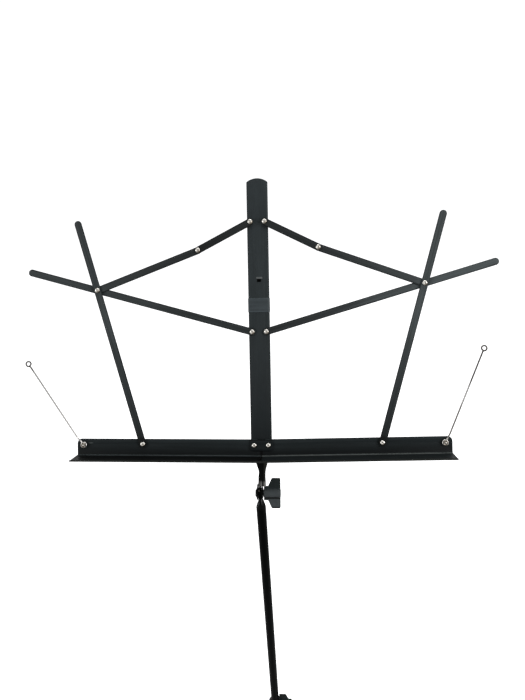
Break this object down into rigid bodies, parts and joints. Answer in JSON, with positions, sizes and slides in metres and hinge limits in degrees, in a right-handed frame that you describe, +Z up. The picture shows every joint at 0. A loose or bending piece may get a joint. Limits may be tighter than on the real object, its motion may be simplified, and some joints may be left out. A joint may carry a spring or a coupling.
{
  "type": "folding music stand",
  "caption": "Folding music stand: riveted strip-steel desk with ledge and page wires, wing-screw tilt joint, telescopic tube column and braced folding tripod.",
  "frame": {"origin": "middle of the column plug's underside, on the floor", "axes": "+Z up along the column; the desk and one leg face -Y; +X to the right seen from the front"},
  "size_m": [0.583, 0.4941, 1.3848],
  "materials": {
    "lacquer": "satin black lacquer on steel",
    "nickel": "bright nickel plate",
    "moulding": "black moulded plastic",
    "rubber": "matt black rubber",
    "tape": "thin clear tape over black"
  },
  "bodies": {
    "column_base": {"base_tube": "lacquer", "tube_plug": "rubber", "leg_hub": "lacquer", "base_clamp": "moulding"},
    "base_clamp_screw": {"base_clamp_screw": "moulding"},
    "column_middle": {"middle_tube": "lacquer", "middle_clamp": "moulding"},
    "middle_clamp_screw": {"middle_clamp_screw": "moulding"},
    "column_upper": {"upper_tube": "lacquer"},
    "desk": {"tilt_bracket": "lacquer", "tilt_nut": "lacquer", "desk_channel": "lacquer", "tape_band": "tape", "cover_plate": "lacquer", "ledge_rivet_left": "nickel", "lower_arm_rivet_left": "nickel", "inner_link_rivet_left": "nickel", "ledge_rivet_right": "nickel", "lower_arm_rivet_right": "nickel", "inner_link_rivet_right": "nickel"},
    "tilt_bolt": {"tilt_wing_bolt": "moulding"},
    "ledge_right": {"ledge_right": "lacquer", "vertical_arm_rivet_right": "nickel", "wire_eyelet_right": "nickel"},
    "vertical_arm_right": {"vertical_arm_right": "lacquer", "star_rivet_front_right": "nickel"},
    "lower_arm_right": {"lower_arm_right": "lacquer", "star_rivet_rear_right": "nickel"},
    "inner_link_right": {"inner_link_right": "lacquer", "knee_rivet_front_right": "nickel"},
    "outer_link_right": {"outer_link_right": "lacquer", "knee_rivet_rear_right": "nickel"},
    "page_wire_right": {"page_wire_right": "nickel"},
    "ledge_left": {"ledge_left": "lacquer", "vertical_arm_rivet_left": "nickel", "wire_eyelet_left": "nickel"},
    "vertical_arm_left": {"vertical_arm_left": "lacquer", "star_rivet_front_left": "nickel"},
    "lower_arm_left": {"lower_arm_left": "lacquer", "star_rivet_rear_left": "nickel"},
    "inner_link_left": {"inner_link_left": "lacquer", "knee_rivet_front_left": "nickel"},
    "outer_link_left": {"outer_link_left": "lacquer", "knee_rivet_rear_left": "nickel"},
    "page_wire_left": {"page_wire_left": "nickel"},
    "stay_1": {"stay_1": "lacquer"},
    "leg_1": {"leg_1": "lacquer", "foot_1": "rubber", "brace_pin_1": "nickel"},
    "stay_2": {"stay_2": "lacquer"},
    "leg_2": {"leg_2": "lacquer", "foot_2": "rubber", "brace_pin_2": "nickel"},
    "stay_3": {"stay_3": "lacquer"},
    "leg_3": {"leg_3": "lacquer", "foot_3": "rubber", "brace_pin_3": "nickel"},
    "leg_collar": {"leg_collar": "lacquer"},
    "leg_collar_screw": {"leg_collar_screw": "moulding"}
  },
  "joints": [
    {"name": "middle_slide", "type": "slide", "parent": "column_base", "child": "column_middle", "axis": [0, 0, 1], "range_m": [-0.06, 0.3]},
    {"name": "base_clamp_turn", "type": "hinge", "parent": "column_base", "child": "base_clamp_screw", "pos_m": [0.03, 0, 0.464], "axis": [1, 0, 0], "range_deg": [0, 450]},
    {"name": "upper_slide", "type": "slide", "parent": "column_middle", "child": "column_upper", "axis": [0, 0, 1], "range_m": [-0.39, 0.015]},
    {"name": "middle_clamp_turn", "type": "hinge", "parent": "column_middle", "child": "middle_clamp_screw", "pos_m": [0.03, 0, 0.567], "axis": [1, 0, 0], "range_deg": [0, 450]},
    {"name": "desk_tilt", "type": "hinge", "parent": "column_upper", "child": "desk", "pos_m": [0, 0, 1.05], "axis": [1, 0, 0], "range_deg": [-25, 50]},
    {"name": "tilt_bolt_turn", "type": "hinge", "parent": "desk", "child": "tilt_bolt", "pos_m": [0, 0, 1.05], "axis": [1, 0, 0], "range_deg": [0, 450]},
    {"name": "right_fold", "type": "hinge", "parent": "desk", "child": "ledge_right", "pos_m": [0.01175, 0.02876, 1.10337], "axis": [0, -0.8559, 0.5171], "range_deg": [0, 79.35]},
    {"name": "right_vertical", "type": "hinge", "parent": "ledge_right", "child": "vertical_arm_right", "pos_m": [0.15113, 0.03015, 1.10566], "axis": [0, -0.8559, 0.5171], "range_deg": [-67.9, 0]},
    {"name": "right_lower", "type": "hinge", "parent": "desk", "child": "lower_arm_right", "pos_m": [0.01175, 0.10137, 1.22354], "axis": [0, -0.8559, 0.5171], "range_deg": [0, 63.43]},
    {"name": "right_inner", "type": "hinge", "parent": "desk", "child": "inner_link_right", "pos_m": [0.01175, 0.17102, 1.33883], "axis": [0, -0.8559, 0.5171], "range_deg": [-51.85, 0]},
    {"name": "right_outer", "type": "hinge", "parent": "lower_arm_right", "child": "outer_link_right", "pos_m": [0.20399, 0.1299, 1.27076], "axis": [0, -0.8559, 0.5171], "range_deg": [0, 37.14]},
    {"name": "right_wire", "type": "hinge", "parent": "ledge_right", "child": "page_wire_right", "pos_m": [0.22634, 0.03002, 1.10545], "axis": [0, 0.8559, -0.5171], "range_deg": [-71.7, 98.3]},
    {"name": "left_fold", "type": "hinge", "parent": "desk", "child": "ledge_left", "pos_m": [-0.00575, 0.02876, 1.10337], "axis": [0, 0.8559, -0.5171], "range_deg": [0, 79.35]},
    {"name": "left_vertical", "type": "hinge", "parent": "ledge_left", "child": "vertical_arm_left", "pos_m": [-0.14513, 0.03015, 1.10566], "axis": [0, 0.8559, -0.5171], "range_deg": [-67.9, 0]},
    {"name": "left_lower", "type": "hinge", "parent": "desk", "child": "lower_arm_left", "pos_m": [-0.00575, 0.10137, 1.22354], "axis": [0, 0.8559, -0.5171], "range_deg": [0, 63.43]},
    {"name": "left_inner", "type": "hinge", "parent": "desk", "child": "inner_link_left", "pos_m": [-0.00575, 0.17102, 1.33883], "axis": [0, 0.8559, -0.5171], "range_deg": [-51.85, 0]},
    {"name": "left_outer", "type": "hinge", "parent": "lower_arm_left", "child": "outer_link_left", "pos_m": [-0.19799, 0.1299, 1.27076], "axis": [0, 0.8559, -0.5171], "range_deg": [0, 37.14]},
    {"name": "left_wire", "type": "hinge", "parent": "ledge_left", "child": "page_wire_left", "pos_m": [-0.22034, 0.03002, 1.10545], "axis": [0, -0.8559, 0.5171], "range_deg": [-82.7, 87.3]},
    {"name": "tripod_fold", "type": "hinge", "parent": "column_base", "child": "stay_1", "pos_m": [0, -0.022, 0.013], "axis": [-1, 0, 0], "range_deg": [0, 51]},
    {"name": "leg_1_turn", "type": "hinge", "parent": "stay_1", "child": "leg_1", "pos_m": [0, -0.14487, 0.09904], "axis": [-1, 0, 0], "range_deg": [-102, 0]},
    {"name": "collar_level", "type": "hinge", "parent": "leg_1", "child": "leg_collar", "pos_m": [0, -0.022, 0.18507], "axis": [-1, 0, 0], "range_deg": [0, 51]},
    {"name": "stay_2_turn", "type": "hinge", "parent": "column_base", "child": "stay_2", "pos_m": [0.01905, 0.011, 0.013], "axis": [0.5, -0.866, 0], "range_deg": [0, 51]},
    {"name": "leg_2_turn", "type": "hinge", "parent": "stay_2", "child": "leg_2", "pos_m": [0.12546, 0.07244, 0.09904], "axis": [0.5, -0.866, 0], "range_deg": [-102, 0]},
    {"name": "stay_3_turn", "type": "hinge", "parent": "column_base", "child": "stay_3", "pos_m": [-0.01905, 0.011, 0.013], "axis": [0.5, 0.866, 0], "range_deg": [0, 51]},
    {"name": "leg_3_turn", "type": "hinge", "parent": "stay_3", "child": "leg_3", "pos_m": [-0.12546, 0.07244, 0.09904], "axis": [0.5, 0.866, 0], "range_deg": [-102, 0]},
    {"name": "collar_screw_turn", "type": "hinge", "parent": "leg_collar", "child": "leg_collar_screw", "pos_m": [0, 0.03, 0.18507], "axis": [0, 1, 0], "range_deg": [0, 450]}
  ],
  "couplings": [
    {"joint": "right_vertical", "follows": "right_fold", "ratio": -0.85567},
    {"joint": "right_lower", "follows": "right_fold", "ratio": 0.79941},
    {"joint": "right_inner", "follows": "right_fold", "ratio": -0.65347},
    {"joint": "right_outer", "follows": "right_fold", "ratio": 0.46811},
    {"joint": "left_vertical", "follows": "left_fold", "ratio": -0.85567},
    {"joint": "left_lower", "follows": "left_fold", "ratio": 0.79941},
    {"joint": "left_inner", "follows": "left_fold", "ratio": -0.65347},
    {"joint": "left_outer", "follows": "left_fold", "ratio": 0.46811},
    {"joint": "leg_1_turn", "follows": "tripod_fold", "ratio": -2},
    {"joint": "collar_level", "follows": "tripod_fold", "ratio": 1},
    {"joint": "stay_2_turn", "follows": "tripod_fold", "ratio": 1},
    {"joint": "leg_2_turn", "follows": "tripod_fold", "ratio": -2},
    {"joint": "stay_3_turn", "follows": "tripod_fold", "ratio": 1},
    {"joint": "leg_3_turn", "follows": "tripod_fold", "ratio": -2}
  ]
}
